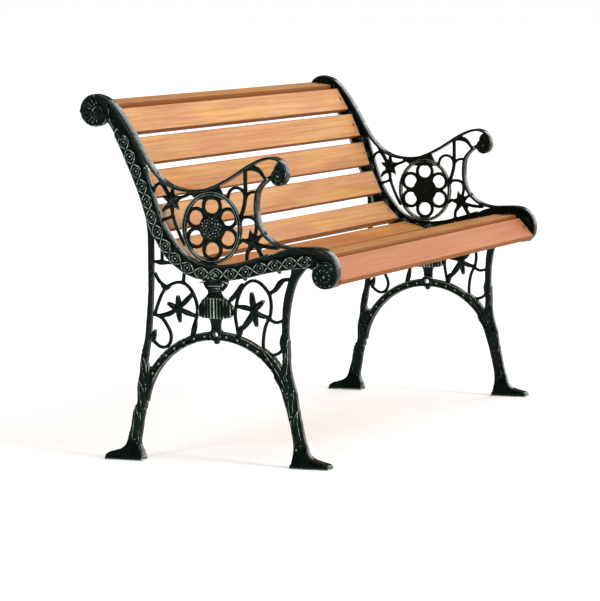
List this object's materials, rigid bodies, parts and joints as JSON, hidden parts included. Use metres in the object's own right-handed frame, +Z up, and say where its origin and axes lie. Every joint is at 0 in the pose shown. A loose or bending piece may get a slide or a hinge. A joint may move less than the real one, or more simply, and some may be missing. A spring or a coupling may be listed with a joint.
{
  "type": "garden bench",
  "caption": "Garden bench with a slatted timber seat and back held between ornamental cast end frames with scrolled arms and splayed feet.",
  "frame": {"origin": "on the ground at the middle of the bench's footprint", "axes": "+X along the bench, -Y towards the front, +Z up"},
  "size_m": [1.22, 0.5583, 0.739],
  "materials": {
    "casting": "dark green-black paint, rubbed lighter on edges and rails",
    "timber": "oiled hardwood with an orange stain, satin",
    "fastener": "dark paint over steel"
  },
  "bodies": {
    "root": {"end_frame_left": "casting", "end_frame_right": "casting", "back_slat_1": "timber", "back_slat_2": "timber", "back_slat_3": "timber", "back_slat_4": "timber", "back_slat_5": "timber", "back_slat_6": "timber", "seat_slat_1": "timber", "seat_slat_2": "timber", "seat_slat_3": "timber", "seat_slat_4": "timber", "seat_slat_5": "timber", "back_bolts_left": "fastener", "back_bolts_right": "fastener", "seat_bolts_left": "fastener", "seat_bolts_right": "fastener", "back_washers_left": "fastener", "back_washers_right": "fastener", "seat_washers_left": "fastener", "seat_washers_right": "fastener", "back_nuts_left": "fastener", "back_nuts_right": "fastener", "seat_nuts_left": "fastener", "seat_nuts_right": "fastener"}
  },
  "joints": []
}
